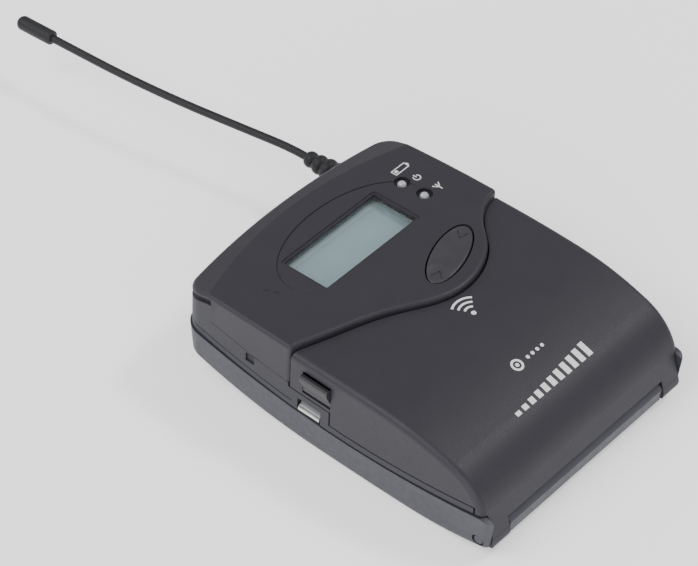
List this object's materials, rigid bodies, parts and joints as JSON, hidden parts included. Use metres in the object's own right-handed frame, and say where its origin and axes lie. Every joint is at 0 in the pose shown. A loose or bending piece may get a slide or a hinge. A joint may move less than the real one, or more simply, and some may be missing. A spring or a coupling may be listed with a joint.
{
  "type": "wireless bodypack transmitter",
  "caption": "Belt-worn wireless transmitter with a bowed case, hinged battery cover with side latch tabs, small display, rocker key and flexible whip antenna.",
  "frame": {"origin": "on the flat land of the back, in the middle of the case's length and width", "axes": "+X across the case, +Y along the case towards the antenna, +Z out of the front face"},
  "size_m": [0.0662, 0.1709, 0.0246],
  "materials": {
    "rear_paint": "die-cast shell with a dark blue-grey matt coating",
    "frame_plastic": "fine spark texture",
    "panel_plastic": "fine spark texture, satin",
    "cover_plastic": "fine spark texture, satin",
    "tab_plastic": "satin",
    "rocker_plastic": "satin",
    "key_plastic": "satin",
    "window_clear": "clear, polished",
    "lcd_face": "grey-green display",
    "holder_white": "matt",
    "lamp_clear": "clear frosted",
    "board_green": "solder mask",
    "chip_black": "moulded",
    "tin_plate": "tinned",
    "pin_steel": "ground",
    "contact_spring": "nickel plated, bright",
    "collar_nickel": "nickel plated",
    "insulator_black": "moulded",
    "antenna_rubber": "satin",
    "cell_jacket": "printed foil round the cell",
    "pad_foam": "closed-cell foam",
    "screw_steel": "blackened",
    "plate_silver": "satin foil, blank"
  },
  "bodies": {
    "chassis": {"rear_shell": "rear_paint", "mid_frame": "frame_plastic", "front_panel": "panel_plastic", "hinge_pin_left": "pin_steel", "hinge_pin_right": "pin_steel", "display_window": "window_clear", "lcd_glass": "lcd_face", "lcd_holder": "holder_white", "power_light": "lamp_clear", "signal_light": "lamp_clear", "rocker_switches": "tin_plate", "rocker_fulcrum": "insulator_black", "display_board": "board_green", "main_board": "board_green", "rf_shield": "tin_plate", "board_parts": "chip_black", "board_header": "insulator_black", "key_board": "board_green", "key_switches": "tin_plate", "jack_socket": "insulator_black", "jack_collar": "collar_nickel", "mute_housing": "insulator_black", "antenna_socket": "insulator_black", "battery_tray": "insulator_black", "battery_cell_rear": "cell_jacket", "battery_cell_front": "cell_jacket", "battery_contacts_left": "contact_spring", "battery_contacts_right": "contact_spring", "charge_contact_left": "contact_spring", "charge_contact_right": "contact_spring", "housing_screws": "screw_steel", "type_plate": "plate_silver"},
    "cover": {"battery_cover": "cover_plastic", "cover_pad": "pad_foam"},
    "latch_left": {"latch_tab_left": "tab_plastic"},
    "latch_right": {"latch_tab_right": "tab_plastic"},
    "rocker": {"rocker_button": "rocker_plastic"},
    "set_key": {"set_button": "key_plastic"},
    "power_key": {"power_button": "key_plastic"},
    "mute": {"mute_slider": "tab_plastic"},
    "antenna": {"antenna_boot": "antenna_rubber", "antenna_whip": "antenna_rubber", "antenna_tip": "antenna_rubber"}
  },
  "joints": [
    {"name": "cover_hinge", "type": "hinge", "parent": "chassis", "child": "cover", "pos_m": [0, -0.0384, 0.00405], "axis": [1, 0, 0], "range_deg": [0, 100]},
    {"name": "latch_left_press", "type": "hinge", "parent": "cover", "child": "latch_left", "pos_m": [-0.0312, 0.0028, 0.0152], "axis": [0, 1, 0], "range_deg": [0, 10], "stiffness_Nm_per_rad": 0.03},
    {"name": "latch_right_press", "type": "hinge", "parent": "cover", "child": "latch_right", "pos_m": [0.0312, 0.0028, 0.0152], "axis": [0, -1, 0], "range_deg": [0, 10], "stiffness_Nm_per_rad": 0.03},
    {"name": "rocker_tilt", "type": "hinge", "parent": "chassis", "child": "rocker", "pos_m": [0.01015, 0.0041, 0.0206], "axis": [-0.309, 0.9511, 0], "range_deg": [-3, 3], "stiffness_Nm_per_rad": 0.1},
    {"name": "set_press", "type": "slide", "parent": "chassis", "child": "set_key", "axis": [0, 0, -1], "range_m": [0, 0.0004], "stiffness_N_per_m": 1500},
    {"name": "power_press", "type": "slide", "parent": "chassis", "child": "power_key", "axis": [0, 0, -1], "range_m": [0, 0.0004], "stiffness_N_per_m": 1500},
    {"name": "mute_slide", "type": "slide", "parent": "chassis", "child": "mute", "axis": [1, 0, 0], "range_m": [0, 0.003]},
    {"name": "antenna_flex", "type": "hinge", "parent": "chassis", "child": "antenna", "pos_m": [0.0217, 0.0409, 0.0135], "axis": [0, 0, 1], "range_deg": [-30, 30], "stiffness_Nm_per_rad": 0.08}
  ]
}
